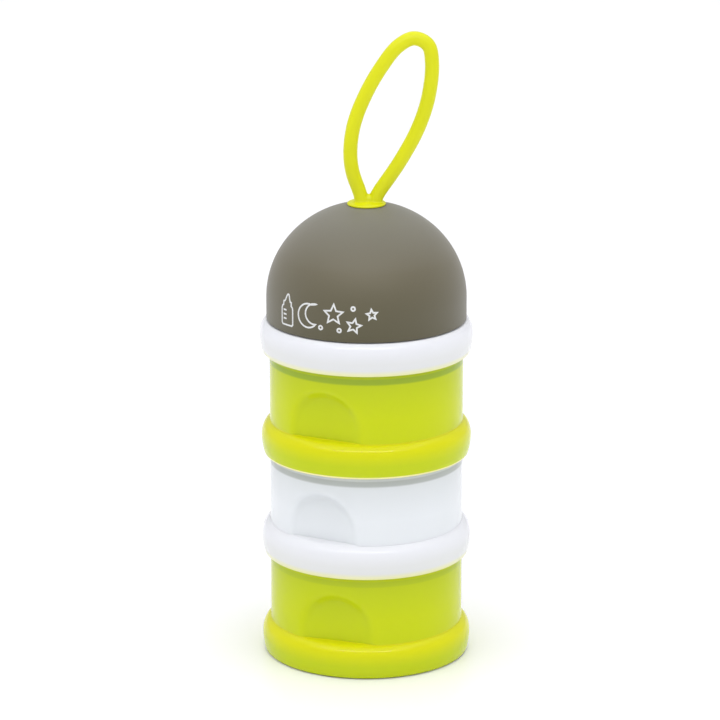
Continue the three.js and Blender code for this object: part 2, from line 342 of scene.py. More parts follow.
def grip_shaping(flat_r, half_width, top_z, ledge_z):
    """Presses a flat arch with soft edges into the wall at the front and the back."""

    def shaping(r, z, angles):
        radius = np.full(len(angles), float(r))
        for centre in (-math.pi / 2, math.pi / 2):
            off = np.mod(angles - centre + math.pi, 2 * math.pi) - math.pi
            near = np.abs(off) < GRIP_REACH
            sideways = WALL_R * np.sin(off)
            above = z - (top_z - half_width)
            edge = half_width - np.where(above > 0, np.hypot(sideways, above), np.abs(sideways))
            inside = smoothstep(edge / GRIP_BEVEL) * smoothstep((z - ledge_z) / LEDGE_RISE)
            depth = r - flat_r / np.cos(np.where(near, off, 0))
            depth = (depth + np.sqrt(depth**2 + GRIP_ROUNDING**2)) / 2
            radius = np.where(near, radius - depth * inside, radius)
        return radius

    return shaping


# ------------------------------------------------------------------ pieces


def socket_rows():
    """The underside of a moulding, from the roof of its socket outwards and down to its foot:
    the roof's corner, the threaded wall and the lip."""
    corner = rounded([(20, FLOOR_Z, 0), (SOCKET_R, FLOOR_Z, 0.5), (SOCKET_R, 7.6, 0)])
    wall = divide([np.array([SOCKET_R, 7.4]), np.array([SOCKET_R, 0.5])], THREAD_ROW)
    lip = rounded([(SOCKET_R, 0.45, 0), (SOCKET_R, 0, 0.35), (SOCKET_R + 1, 0, 0)])
    return corner, wall, lip


def container(place):
    base = ("bottom", "middle", "top").index(place) * PITCH
    corner, wall, lip = socket_rows()
    bore_r = WALL_R - WALL
    floor_top = FLOOR_Z + WALL
    rim_z = PITCH + NECK_H
    outer_grip = grip_shaping(GRIP_FLAT_R, GRIP_HALF_W, GRIP_TOP_Z, RING_H)
    inner_grip = grip_shaping(GRIP_FLAT_R - WALL, GRIP_HALF_W + WALL, GRIP_TOP_Z + WALL, 0)
    step_h = FOOT_STEP_H if place == "bottom" else 0.0
    outside = ring_outline(RING_R, RING_CREST_Z, WALL_R, RING_H, step_h)
    ledge = [np.array([WALL_R, RING_H + LEDGE_RISE * share]) for share in LEDGE_ROWS]
    wall_low = divide([ledge[-1], np.array([WALL_R, SHOULDER_Z - 1.2])], WALL_ROW)[1:]
    shoulder = rounded([
        (WALL_R, SHOULDER_Z - 1.0, 0),
        (WALL_R, SHOULDER_Z, 0.4),
        (NECK_R, SHOULDER_Z, 0.3),
        (NECK_R, PITCH + 0.3, 0),
    ])
    neck = divide([np.array([NECK_R, PITCH + 0.4]), np.array([NECK_R, PITCH + 7.1])], THREAD_ROW)
    rim = rounded([
        (NECK_R, rim_z - 0.5, 0),
        (NECK_R, rim_z, 0.5),
        (NECK_BORE_R, rim_z, 0.4),
        (NECK_BORE_R, SHOULDER_Z - 0.9, 1.5),
        (bore_r, SHOULDER_Z - WALL - 1.3, 1.5),
        (bore_r, SHOULDER_Z - WALL - 2.2, 0),
    ])
    inner_wall = divide([np.array([bore_r, 33.9]), np.array([bore_r, floor_top + 2.3])], BORE_ROW)
    # the grip reaches the upper rows of the floor's fillet
    floor = rounded([(bore_r, floor_top + 2.1, 0), (bore_r, floor_top, 2), (12, floor_top, 0)])
    rows = [
        (0, FLOOR_Z, None),
        *shaped(corner),
        *shaped(wall, socket_thread()),
        *shaped(lip),
        *shaped(outside),
        *shaped(ledge + wall_low, outer_grip),
        *shaped(shoulder),
        *shaped(neck, neck_thread()),
        *shaped(rim),
        *shaped(inner_wall, inner_grip),
        *shaped(floor[:3], inner_grip),
        *shaped(floor[3:]),
        (0, floor_top, None),
    ]
    obj = revolve(f"{place}_container_shell", rows, grip_angles())
    turn_and_lift(obj, GRIP_AZIMUTHS[place], base)
    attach(obj, f"container_{place}")
    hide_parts(f"container_{place}")
    return obj


def turn_and_lift(obj, azimuth, height):
    angle = math.radians(azimuth)
    co = np.array([v.co for v in obj.data.vertices], float)
    x = co[:, 0] * math.cos(angle) - co[:, 1] * math.sin(angle)
    y = co[:, 0] * math.sin(angle) + co[:, 1] * math.cos(angle)
    moved = np.stack([x, y, co[:, 2] + height * MM], axis=1)
    obj.data.vertices.foreach_set("co", moved.astype(np.float32).ravel())
    obj.data.update()


def seal(place, body, height):
    low = height + SEAL_Z
    high = low + SEAL_H
    profile = rounded([
        (SEAL_INNER_R, low, 0.3),
        (SEAL_OUTER_R - 2.2, low, 0.2),
        (SEAL_OUTER_R - 1.9, low + 0.12, 0.1),
        (SEAL_OUTER_R - 1.2, low + 0.12, 0.1),
        (SEAL_OUTER_R - 0.9, low, 0.2),
        (SEAL_OUTER_R, low, 0.3),
        (SEAL_OUTER_R, high, 0.3),
        (SEAL_INNER_R, high, 0.3),
    ], closed=True)
    obj = revolve(f"{place}_gasket", shaped(profile), even_angles(144), closed=True)
    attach(obj, body)
    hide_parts(f"seal_{place}")
    return obj


def pour_lid():
    _, wall, lip = socket_rows()
    outside = ring_outline(LID_RING_R, LID_CREST_Z, DOME_R + 0.5, LID_LEDGE_Z - 0.1)
    ledge = rounded([
        (DOME_R + 0.3, LID_LEDGE_Z - 0.02, 0),
        (DOME_R - 0.1, LID_LEDGE_Z, 0.1),
        (COLLAR_R, LID_LEDGE_Z, 0.25),
        (COLLAR_R, LID_LEDGE_Z + 2.1, 0.2),
        (COLLAR_R + 0.3, LID_LEDGE_Z + 2.6, 0.2),
        (COLLAR_R + 0.3, LID_LEDGE_Z + 3.0, 0.2),
        (COLLAR_R, LID_LEDGE_Z + 3.5, 0.2),
        (COLLAR_R - 0.3, COLLAR_TOP_Z, 0.5),
        (COLLAR_R - 1.6, COLLAR_TOP_Z, 0.5),
        (COLLAR_R - 1.6, LID_LEDGE_Z + 0.4, 0.5),
        (NECK_BORE_R - 0.2, LID_LEDGE_Z, 0.4),
        (SPOUT_R, SPOUT_FOOT_Z + 0.8, 3),
        (SPOUT_R, SPOUT_TOP_Z, 0.6),
        (SPOUT_BORE_R, SPOUT_TOP_Z, 0.6),
        (SPOUT_BORE_R, SPOUT_FOOT_Z, 3),
        (NECK_BORE_R, FLOOR_Z, 0.5),
        (SOCKET_R, FLOOR_Z, 0.5),
        (SOCKET_R, 7.6, 0),
    ])
    rows = [
        *shaped(lip),
        *shaped(outside),
        *shaped(ledge),
        *shaped(wall, socket_thread()),
    ]
    obj = revolve("pouring_lid", rows, even_angles(216), closed=True)
    turn_and_lift(obj, GRIP_AZIMUTHS["top"], LID_Z)
    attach(obj, "pour_lid")
    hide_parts("pour_lid")
    return obj


def dome_surface(z):
    """The dome's outside radius at a height, and the outward normal there as (r, z)."""
    if z <= DOME_CENTRE_Z:
        return DOME_R, (1.0, 0.0)
    rise = (z - DOME_CENTRE_Z) / DOME_H
    radius = DOME_R * math.sqrt(1 - rise**2)
    normal = np.array([radius / DOME_R**2, (z - DOME_CENTRE_Z) / DOME_H**2])
    return radius, normal / np.linalg.norm(normal)


def dome_cap():
    inner_r = DOME_R - DOME_WALL
    inner_h = DOME_H - DOME_WALL
    flat_z = FLANGE_Z - GAP
    flat_angle = math.degrees(math.asin((flat_z - DOME_CENTRE_Z) / DOME_H))
    flat_r = DOME_R * math.cos(math.radians(flat_angle))
    stopper_angle = math.degrees(math.acos(STOPPER_R / inner_r))
    bead_z = DOME_RIM_Z + 1.8
    rim = rounded([
        (inner_r, DOME_RIM_Z + 0.6, 0),
        (inner_r, DOME_RIM_Z, 0.4),
        (DOME_R, DOME_RIM_Z, 0.45),
        (DOME_R, DOME_RIM_Z + 1.0, 0),
    ])
    skirt = divide([np.array([DOME_R, DOME_RIM_Z + 1.0]), np.array([DOME_R, DOME_CENTRE_Z])], 1.2)
    outside = arc(DOME_CENTRE_Z, DOME_R, 0, flat_angle - 0.4, 72, radius_z=DOME_H)
    plug_side = rounded([
        (flat_r + 0.1, flat_z + 0.01, 0),
        (flat_r - 0.2, flat_z, 0.1),
        (PLUG_R + GAP, flat_z, 0.2),
        (PLUG_R + GAP, CEILING_Z, 0.2),
        (STOPPER_BORE_R, CEILING_Z, 0.8),
        (STOPPER_BORE_R, STOPPER_Z, 0.5),
        (STOPPER_R, STOPPER_Z, 0.5),
        (STOPPER_R, DOME_CENTRE_Z + inner_h * math.sin(math.radians(stopper_angle)) - 1, 0),
    ])
    inside = arc(DOME_CENTRE_Z, inner_r, stopper_angle - 1.5, 0, 30, radius_z=inner_h)
    bead = rounded([
        (inner_r, bead_z + 0.8, 0),
        (inner_r - 0.3, bead_z + 0.3, 0.2),
        (inner_r - 0.3, bead_z - 0.3, 0.2),
        (inner_r, bead_z - 0.8, 0),
    ])
    profile = rim + skirt[1:-1] + outside + plug_side + inside + bead
    obj = revolve("dome_shell", shaped(profile), even_angles(216), closed=True)
    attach(obj, "dome_cap")
    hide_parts("dome_cap")
    return obj


# ------------------------------------------------------------------ print on the dome

PRINT_LINE_W = 0.62
PRINT_STEP = 0.5  # longest step along a line
PRINT_MITRE = 0.45  # smallest cosine, so that sharp corners don't grow long points
PRINT_INK = 0.04  # how far the ink stands proud of the dome
PRINT_BASE_Z = 131.4


def ink_line(outline, closed=True):
    """The two sides of a drawn line, mitred at its corners, from a flat (across, up) outline."""
    outline = np.array(outline, float)
    pieces = [outline[:1]]
    ends = np.roll(outline, -1, axis=0) if closed else outline[1:]
    for a, b in zip(outline, ends):
        count = max(1, math.ceil(np.linalg.norm(b - a) / PRINT_STEP))
        pieces.append(a + (b - a) * (np.arange(1, count + 1) / count)[:, None])
    line = np.vstack(pieces)
    if closed:
        line = line[:-1]
        before, after = np.roll(line, 1, axis=0), np.roll(line, -1, axis=0)
    else:
        before = np.vstack([2 * line[0] - line[1], line[:-1]])
        after = np.vstack([line[1:], 2 * line[-1] - line[-2]])
    come = (line - before) / np.linalg.norm(line - before, axis=1)[:, None]
    go = (after - line) / np.linalg.norm(after - line, axis=1)[:, None]
    bisector = come + go
    bisector /= np.linalg.norm(bisector, axis=1)[:, None]
    side = np.stack([-bisector[:, 1], bisector[:, 0]], axis=1)
    stretch = 1 / np.maximum(np.sum(bisector * go, axis=1), PRINT_MITRE)
    shift = side * (PRINT_LINE_W / 2 * stretch)[:, None]
    return line + shift, line - shift


def ring_points(centre, radius, count, start=0.0, sweep=360.0):
    steps = np.radians(start + np.linspace(0, sweep, count, endpoint=sweep < 360))
    return [(centre[0] + radius * math.cos(a), centre[1] + radius * math.sin(a)) for a in steps]


def star(centre, size, turn=90.0):
    points = []
    for i in range(10):
        angle = math.radians(turn + 36 * i)
        reach = size if i % 2 == 0 else size * 0.46
        points.append((centre[0] + reach * math.cos(angle), centre[1] + reach * math.sin(angle)))
    return points


def bottle(x, y):
    """A plain feeding bottle, standing on (x, y): body, collar and teat in one outline."""
    half = [
        (0, 0), (2.6, 0), (3.1, 0.5), (3.1, 6.0), (2.9, 6.8), (2.2, 7.3), (2.2, 8.6), (1.5, 8.8),
        (1.1, 9.6), (0.75, 10.6), (0.4, 11.2), (0, 11.35),
    ]
    right = [(x + across, y + up) for across, up in half]
    left = [(x - across, y + up) for across, up in reversed(half[1:-1])]
    return right + left


def moon(centre, radius):
    outer = ring_points(centre, radius, 22, 60, 260)
    bite = (centre[0] + radius * 0.62, centre[1] + radius * 0.2)
    inner = ring_points(bite, radius * 0.86, 14, 78, 200)
    return outer[1:-1] + list(reversed(inner))


def dome_print():
    """A generic nursery drawing in thin white lines: a bottle with its scale, a moon and stars.
    Each line is its own closed solid, wrapped round the dome."""
    base = PRINT_BASE_Z
    drawings = [
        (bottle(-33.0, base), True),
        ([(-35.1, base + 2.3), (-33.4, base + 2.3)], False),
        ([(-35.1, base + 3.9), (-33.4, base + 3.9)], False),
        ([(-35.1, base + 5.5), (-33.4, base + 5.5)], False),
        (moon((-22.6, base + 5.3), 4.4), True),
        (star((-12.2, base + 6.9), 3.7), True),
        (star((-4.6, base + 3.1), 2.7, 78), True),
        (star((1.9, base + 7.3), 2.0, 96), True),
        (ring_points((-17.2, base + 1.6), 0.7, 12), True),
        (ring_points((-10.0, base + 1.2), 0.7, 12), True),
        (ring_points((-4.9, base + 9.4), 0.7, 12), True),
    ]
    ink = PRINT_INK
    points, faces = [], []
    for outline, closed in drawings:
        left, right = ink_line(outline, closed)
        start = len(points)
        for a, b in zip(left, right):
            for across, up, lift in ((*a, -ink), (*b, -ink), (*b, ink), (*a, ink)):
                radius, normal = dome_surface(up)
                angle = across / DOME_R - math.pi / 2
                out = radius + normal[0] * lift
                points.append((out * math.cos(angle), out * math.sin(angle), up + normal[1] * lift))
        count = len(left)
        steps = count if closed else count - 1
        for i in range(steps):
            a, b = start + 4 * i, start + 4 * ((i + 1) % count)
            for j in range(4):
                k = (j + 1) % 4
                faces.append((a + j, a + k, b + k, b + j))
        if not closed:
            faces.append((start + 3, start + 2, start + 1, start))
            last = start + 4 * (count - 1)
            faces.append((last, last + 1, last + 2, last + 3))
    obj = to_metres("dome_print", points, faces, smooth=False)
    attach(obj, "dome_cap")
    return obj


# ------------------------------------------------------------------ carry loop


def loop_curve(samples):
    """Points along the loop's smooth centreline, evenly spaced."""
    nodes = np.array([(x, BEND_Z + h) for x, h in LOOP_PATH], float)
    first = 2 * nodes[0] - nodes[1]
    last = 2 * nodes[-1] - nodes[-2]
    nodes = np.vstack([first, nodes, last])
    points = []
    for i in range(1, len(nodes) - 2):
        p0, p1, p2, p3 = nodes[i - 1:i + 3]
        t1 = np.linalg.norm(p1 - p0) ** 0.5
        t2 = t1 + np.linalg.norm(p2 - p1) ** 0.5
        t3 = t2 + np.linalg.norm(p3 - p2) ** 0.5
        for t in np.linspace(t1, t2, LOOP_SPAN_STEPS, endpoint=False):
            a1 = p0 * (t1 - t) / t1 + p1 * t / t1
            a2 = p1 * (t2 - t) / (t2 - t1) + p2 * (t - t1) / (t2 - t1)
            a3 = p2 * (t3 - t) / (t3 - t2) + p3 * (t - t2) / (t3 - t2)
            b1 = a1 * (t2 - t) / t2 + a2 * t / t2
            b2 = a2 * (t3 - t) / (t3 - t1) + a3 * (t - t1) / (t3 - t1)
            points.append(b1 * (t2 - t) / (t2 - t1) + b2 * (t - t1) / (t2 - t1))
    points.append(nodes[-2])
    points = np.array(points)
    length = np.concatenate([[0], np.cumsum(np.linalg.norm(np.diff(points, axis=0), axis=1))])
    even = np.linspace(0, length[-1], samples)
    return np.stack([np.interp(even, length, points[:, k]) for k in (0, 1)], axis=1)


def round_cord(obj):
    """Moves the points of the loop's skin onto the exact round cord, above where its arms part."""
    co = np.empty(len(obj.data.vertices) * 3, np.float32)
    obj.data.vertices.foreach_get("co", co)
    co = co.reshape(-1, 3).astype(float) / MM
    line = loop_curve(ROUNDING_SAMPLES)
    centres = np.stack([line[:, 0], np.zeros(len(line)), line[:, 1]], axis=1)
    nearest = np.empty_like(co)
    for start in range(0, len(co), ROUNDING_BATCH):
        part = co[start:start + ROUNDING_BATCH]
        distance = ((part[:, None, :] - centres[None]) ** 2).sum(axis=2)
        nearest[start:start + ROUNDING_BATCH] = centres[np.argmin(distance, axis=1)]
    out = co - nearest
    out *= CORD_R / np.linalg.norm(out, axis=1)[:, None]
    share = smoothstep((co[:, 2] - ARMS_PART_Z) / (ARMS_ROUND_Z - ARMS_PART_Z))[:, None]
    co += (nearest + out - co) * share
    obj.data.vertices.foreach_set("co", (co * MM).astype(np.float32).ravel())
    obj.data.update()


def carry_loop():
    """Loop, flange, stem and barb as one soft moulding, joined by a voxel skin."""
    foot = np.array([0, FOOT_OF_ARMS_Z])
    line = np.vstack([LEFT_FOOT + foot, loop_curve(CORD_RINGS), RIGHT_FOOT + foot])
    tangent = np.gradient(line, axis=0)
    tangent /= np.linalg.norm(tangent, axis=1)[:, None]
    normal = np.stack([-tangent[:, 1], tangent[:, 0]], axis=1)
    sides = CORD_SIDES
    around = np.radians(np.arange(sides) * 360 / sides)
    points, faces = [], []
    for centre, n in zip(line, normal):
        for a in around:
            out = CORD_R * math.cos(a)
            points.append((centre[0] + n[0] * out, CORD_R * math.sin(a), centre[1] + n[1] * out))
    for i in range(len(line) - 1):
        for j in range(sides):
            k = (j + 1) % sides
            a, b = i * sides, (i + 1) * sides
            faces.append((a + j, b + j, b + k, a + k))
    faces.append(tuple(range(sides)))
    faces.append(tuple((len(line) - 1) * sides + j for j in reversed(range(sides))))
    cord = to_metres("silicone_loop", points, faces)

    barb_top = CEILING_Z - GAP
    profile = rounded([
        (0, BARB_TIP_Z, 0),
        (1.6, BARB_TIP_Z, 0.6),
        (BARB_R, barb_top - 0.8, 0.4),
        (BARB_R, barb_top, 0.3),
        (PLUG_R, barb_top, 0.2),
        (PLUG_R, FLANGE_Z - 0.2, 0.2),
        (FLANGE_R - 0.15, FLANGE_Z - 0.2, 0.15),
        (FLANGE_R, FLANGE_Z + 0.25, 0.3),
        (FLANGE_R - 0.35, FLANGE_Z + 0.75, 0.4),
        (4.6, FLANGE_Z + 1.0, 1.5),
        (0, FLANGE_Z + 1.4, 0),
    ])
    plug = revolve("plug", shaped(profile), even_angles(72))
    both = bmesh.new()
    both.from_mesh(cord.data)
    both.from_mesh(plug.data)
    web = Matrix.Translation(Vector(WEB_CENTRE) * MM)
    bmesh.ops.create_uvsphere(both, u_segments=24, v_segments=16, radius=WEB_R * MM, matrix=web)
    bmesh.ops.recalc_face_normals(both, faces=both.faces)
    both.to_mesh(cord.data)
    both.free()
    bpy.data.objects.remove(plug)
    skin = cord.modifiers.new("skin", "REMESH")
    skin.mode = "VOXEL"
    skin.voxel_size = SKIN_VOXEL * MM
    soften = cord.modifiers.new("soften", "SMOOTH")
    soften.factor = 0.5
    soften.iterations = SKIN_SOFTENING
    apply_modifiers(cord)
    round_cord(cord)
    cord.data.polygons.foreach_set("use_smooth", [True] * len(cord.data.polygons))
    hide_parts("loop_anchor", "carry_loop")
    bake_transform(cord)
    return cord


def apply_modifiers(obj):
    depsgraph = bpy.context.evaluated_depsgraph_get()
    mesh = bpy.data.meshes.new_from_object(obj.evaluated_get(depsgraph))
    obj.modifiers.clear()
    old = obj.data
    obj.data = mesh
    bpy.data.meshes.remove(old)


# ------------------------------------------------------------------ materials

# Where the tones of a moulded piece change: heights in millimetres above its own foot
# the ring's own tone is painted paler towards its crest as painted light and darker towards its
# foot as painted shade
CREST_Z = (4.7, 10.2)
NECK_Z = (8.6, 9.4)
WALL_Z = (RING_H + 0.3, RING_H + 0.42)
# Painted shade on the wall: in the grip's recess, stronger under its top edge; growing towards the
# ring above; and a painted shadow band under that ring, at half strength just under its lip
GRIP_Z = (17, 26)
CLIMB_Z = (22, 34.5)
SHOULDER_BAND_Z = (34.3, 35.2)
SHOULDER_HALF_Z = (36.8, 37.2)
# heights above the table: the base has no painted lip light, its painted shoulder shadow is milder,
# and the lid has no painted shade
LIT_LIPS_Z = (10, 11)
UPPER_CUPS_Z = (40, 42)
LID_FOOT_Z = (LID_Z - 0.3, LID_Z)
# where the dome's painted sheen grows towards its crown
SATIN_SIDE_Z = (130, 155)
SATIN_CROWN_Z = (152, 168)
# and distances from the axis
GRIP_WITHIN_R = (WALL_R - 1.2, WALL_R - 0.15)
LIP_BEYOND_R = (WALL_R + 0.1, WALL_R + 0.3)
BORE_WITHIN_R = (SOCKET_R + 0.2, SOCKET_R + 0.6)
# How much painted shade there is at the two ends of GRIP_Z, CLIMB_Z and UPPER_CUPS_Z
GRIP_SHADE = (0.06, 0.17)
CLIMB_SHADE = (0.0, 0.22)
SHOULDER_SHADE = (0.45, 0.92)

# Linear colours: the wall; the crest and foot of the ring, its own tone painted paler at the crest
# as painted light and darker at the foot as painted shade; the painted light on its lip and the
# heights that it fades over; and the painted shade for the grip and under the ring above. The
# radius is how far red, green and blue spread inside the plastic, as shares of SPREAD_DEPTH.
LIME_TONES = {
    "wall": (0.565, 0.643, 0.004),
    "crest": (0.68, 0.675, 0.005),
    "foot": (0.527, 0.620, 0.008),
    "lip": (0.88, 0.83, 0.42),
    "lip_light_fade": (0.55, 0.8),
    "shade": (0.307, 0.429, 0.033),
    "radius": (1.0, 1.0, 0.2),
    "ior": 1.27,
}
WHITE_TONES = {
    "wall": (0.768, 0.798, 0.824),
    "crest": (0.782, 0.792, 0.835),
    "foot": (0.735, 0.745, 0.745),
    "lip": (0.80, 0.79, 0.34),
    "lip_light_fade": (0.0, 2.4),
    "shade": (0.42, 0.45, 0.43),
    "radius": (1.0, 1.0, 1.0),
    "ior": 1.34,
}
# Dome colours: darkest at the rim, then a painted sheen growing paler towards the crown, and random
# clouds
SATIN_RIM = (0.071, 0.061, 0.021, 1)
SATIN_SIDE = (0.109, 0.093, 0.049, 1)
SATIN_CROWN = (0.140, 0.132, 0.098, 1)
SATIN_CLOUD = (0.095, 0.086, 0.048, 1)
SPREAD_DEPTH = 0.002  # metres


class Nodes:
    """A short way to write a node tree."""

    def __init__(self, name):
        self.material = bpy.data.materials.new(name)
        self.material.use_nodes = True
        self.tree = self.material.node_tree
        self.tree.nodes.clear()
        self.output = self.tree.nodes.new("ShaderNodeOutputMaterial")

    def add(self, kind, inputs=None, **settings):
        node = self.tree.nodes.new("ShaderNode" + kind)
        for key, value in settings.items():
            setattr(node, key, value)
        for key, value in (inputs or {}).items():
            if isinstance(value, bpy.types.NodeSocket):
                self.tree.links.new(value, node.inputs[key])
            else:
                node.inputs[key].default_value = value
        return node

    def position(self):
        return self.add("TexCoord").outputs["Object"]

    def height(self):
        return self.add("SeparateXYZ", {"Vector": self.position()}).outputs["Z"]

    def noise(self, scale, detail=2.0, roughness=0.5):
        inputs = {"Scale": scale, "Detail": detail, "Roughness": roughness}
        return self.add("TexNoise", {"Vector": self.position(), **inputs}).outputs["Fac"]

    def spread(self, value, low, high, start=0.3, end=0.7):
        inputs = {"Value": value, "From Min": start, "From Max": end, "To Min": low, "To Max": high}
        return self.add("MapRange", inputs).outputs["Result"]

    def over(self, value, span, low=0.0, high=1.0):
        """Goes from low to high over a span given in millimetres."""
        start, end = span
        return self.spread(value, low, high, start * MM, end * MM)

    def math(self, operation, first, second):
        return self.add("Math", {0: first, 1: second}, operation=operation).outputs[0]

    def mix(self, amount, first, second):
        node = self.add("Mix", data_type="RGBA")
        for socket, value in ((0, amount), (6, first), (7, second)):
            if isinstance(value, bpy.types.NodeSocket):
                self.tree.links.new(value, node.inputs[socket])
            else:
                node.inputs[socket].default_value = value
        return node.outputs[2]

    def bump(self, height, distance, strength=1.0):
        inputs = {"Height": height, "Distance": distance, "Strength": strength}
        return self.add("Bump", inputs).outputs["Normal"]

    def finish(self, shader):
        self.tree.links.new(shader.outputs[0], self.output.inputs["Surface"])
        return self.material


def stack_height(n):
    """Height above the foot of whichever stacked piece a point is on. All of them repeat with the
    stack's pitch, and the small shift puts a shoulder with the foot that rests on it."""
    height = n.height()
    lifted = n.math("ADD", height, GAP * MM)
    return height, n.math("MODULO", lifted, PITCH * MM)


def moulded_plastic(name, wall, crest, foot, lip, lip_light_fade, shade, radius, ior):
    """Polished translucent polypropylene. The thick ring is its own warmer tone than the thin wall,
    painted paler at its crest as painted light and darker at its foot as painted shade, and its
    thin lip carries a pale painted light. The wall has painted shade in its thumb grip and inside,
    growing towards the shoulder, and a deeper painted shadow band in front of the solid shoulder
    under the ring above. There are faint flow clouds, an uneven polish, and light that spreads
    inside the wall."""
    n = Nodes(name)
    height, level = stack_height(n)

    def above(low, high):
        return n.over(level, (low + GAP, high + GAP))

    def less(value, amount=1.0):
        return n.math("SUBTRACT", 1.0, n.math("MULTIPLY", value, amount))

    flat = n.add("VectorMath", {0: n.position(), 1: (1, 1, 0)}, operation="MULTIPLY").outputs[0]
    from_axis = n.add("VectorMath", {0: flat}, operation="LENGTH").outputs["Value"]

    # the ring: its crest painted paler as painted light, its foot darker as painted shade
    ring = n.mix(above(*CREST_Z), (*foot, 1), (*crest, 1))
    # painted light: a pale glow along the lower edge of each upper piece, standing in for light
    # through its thin lip
    painted_lip_light = n.math("MULTIPLY", less(above(*lip_light_fade)), n.over(height, LIT_LIPS_Z))
    painted_lip_light = n.math("MULTIPLY", painted_lip_light, n.over(from_axis, LIP_BEYOND_R))
    ring = n.mix(painted_lip_light, ring, (*lip, 1))
    clouds = n.spread(n.noise(38.0, 3.0), 0.0, 0.05)

    # painted shade in the grip's recess and on the inside, stronger towards the grip's top edge
    grip = n.over(from_axis, GRIP_WITHIN_R, 1.0, 0.0)
    grip = n.math("MULTIPLY", grip, n.over(level, GRIP_Z, *GRIP_SHADE))
    climb = n.over(level, CLIMB_Z, *CLIMB_SHADE)
    # painted shadow band under the ring above, at half strength just under its lip and milder on
    # the base
    shoulder = n.math("MULTIPLY", above(*SHOULDER_BAND_Z), less(above(*SHOULDER_HALF_Z), 0.5))
    shoulder = n.math("MULTIPLY", shoulder, n.over(height, UPPER_CUPS_Z, *SHOULDER_SHADE))
    # the share of painted shade on the wall, none on the lid
    depth = n.math("MAXIMUM", shoulder, n.math("MAXIMUM", climb, grip))
    below_lid = n.over(height, LID_FOOT_Z, 1.0, 0.0)
    flat_wall = n.mix(n.math("MULTIPLY", depth, below_lid), (*wall, 1), (*shade, 1))

    bore = n.over(from_axis, BORE_WITHIN_R, 1.0, 0.0)
    in_neck = n.math("MULTIPLY", bore, less(above(*NECK_Z)))
    in_wall = n.math("MAXIMUM", above(*WALL_Z), in_neck)
    body = n.mix(in_wall, n.mix(clouds, ring, (*foot, 1)), flat_wall)
    polish = n.spread(n.noise(420.0, 4.0, 0.6), 0.06, 0.11)
    ripple = n.noise(900.0, 3.0)
    shader = n.add("BsdfPrincipled", {
        "Base Color": body,
        "Roughness": polish,
        "IOR": ior,
        "Subsurface Weight": 0.35,
        "Subsurface Radius": radius,
        "Subsurface Scale": SPREAD_DEPTH,
        "Normal": n.bump(ripple, 0.000012),
    })
    return n.finish(shader)


def satin_dome():
    """Matt-textured ABS: a fine spark-eroded grain with a soft sheen. Its colour carries a painted
    sheen that grows paler from the rim towards the crown."""
    n = Nodes("satin_grey")
    height = n.height()
    # painted sheen, paler towards the crown
    side = n.mix(n.over(height, SATIN_SIDE_Z), SATIN_RIM, SATIN_SIDE)
    crown_painted_sheen = n.mix(n.over(height, SATIN_CROWN_Z), side, SATIN_CROWN)
    clouds = n.spread(n.noise(30.0, 3.0), 0.0, 0.10)
    base = n.mix(clouds, crown_painted_sheen, SATIN_CLOUD)
    grain = n.noise(4200.0, 2.0, 0.6)
    rough = n.spread(grain, 0.48, 0.58)
    shader = n.add("BsdfPrincipled", {
        "Base Color": base,
        "Roughness": rough,
        "IOR": 1.45,
        "Sheen Weight": 0.22,
        "Sheen Roughness": 0.65,
        "Normal": n.bump(grain, 0.00003, 0.6),
    })
    return n.finish(shader)


def soft_silicone(name, colour, deep, radius):
    n = Nodes(name)
    clouds = n.noise(60.0, 3.0)
    base = n.mix(n.spread(clouds, 0.0, 1.0), (*colour, 1), (*deep, 1))
    grain = n.noise(3000.0, 3.0, 0.6)
    rough = n.spread(grain, 0.34, 0.46)
    shader = n.add("BsdfPrincipled", {
        "Base Color": base,
        "Roughness": rough,
        "IOR": 1.36,
        "Subsurface Weight": 0.25,
        "Subsurface Radius": radius,
        "Subsurface Scale": SPREAD_DEPTH,
        "Normal": n.bump(grain, 0.00002, 0.6),
    })
    return n.finish(shader)


def printed_ink():
    """Matt white pad print, a little thin in places."""
    n = Nodes("white_ink")
    cover = n.spread(n.noise(1500.0, 4.0, 0.6), 0.0, 1.0)
    base = n.mix(cover, (0.62, 0.63, 0.62, 1), (0.78, 0.79, 0.79, 1))
    shader = n.add("BsdfPrincipled", {
        "Base Color": base,
        "Roughness": n.spread(n.noise(3000.0), 0.5, 0.65),
        "IOR": 1.45,
    })
    return n.finish(shader)


def give(obj, material):
    obj.data.materials.clear()
    obj.data.materials.append(material)


# ------------------------------------------------------------------ stage and light

FLOOR_HALF_SIDE = 3.0  # metres
FLOOR_COLOUR = (0.95, 0.95, 0.99, 1)
SOFTBOX_DISTANCE = 1.2
SOFTBOX_TARGET = (0, 0, 0.1)
# name, azimuth from the front, elevation, width and height in metres, radiance, glints only
SOFTBOXES = (
    ("front_box", -5, 50.5, (2.0, 0.14), 1.5, False),
    ("glint_strip", -5, 45, (1.3, 0.09), 13.0, True),
    ("left_box", -62.5, 44.5, (0.32, 0.4), 1.5, False),
    ("right_box", 61.5, 45, (0.74, 0.4), 0.8, False),
)
ROOM_LIGHT = 0.80
SWEEP_LIGHT = 0.62  # behind the stack
CEILING_LIGHT = 1.62
SWEEP_EDGE = (0.57, 0.63)  # how far back a direction points where the sweep begins
CEILING_EDGE = (0.55, 0.85)  # how far up it points where the ceiling begins


